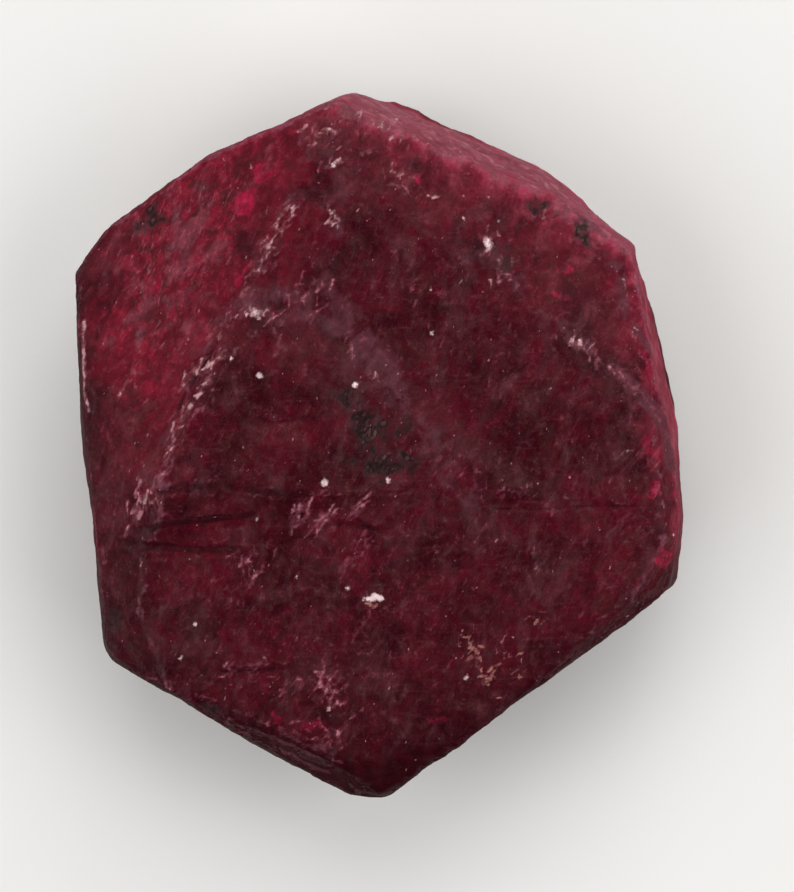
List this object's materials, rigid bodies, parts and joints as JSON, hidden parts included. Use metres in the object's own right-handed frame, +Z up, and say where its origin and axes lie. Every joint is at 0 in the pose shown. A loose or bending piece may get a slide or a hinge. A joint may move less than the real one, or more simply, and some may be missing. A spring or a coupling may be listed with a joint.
{
  "type": "raw ruby crystal",
  "caption": "Natural uncut ruby: a six-sided tabular crystal with a stepped triangular growth face, bevelled edges and a flat basal face to rest on.",
  "frame": {"origin": "under the middle of the crystal's bounding box, on the surface that it lies on", "axes": "+Z up the crystal's c axis, out of its stepped growth face; +Y along its longest direction, towards its pointed end; +X across it, to the right"},
  "size_m": [0.0226, 0.026, 0.0096],
  "materials": {
    "raw_ruby": "natural frosted crystal faces, deep purplish wine red, brighter red on the lit bevels, dull to waxy lustre with small glassy glints"
  },
  "bodies": {
    "root": {"ruby_crystal": "raw_ruby"}
  },
  "joints": []
}
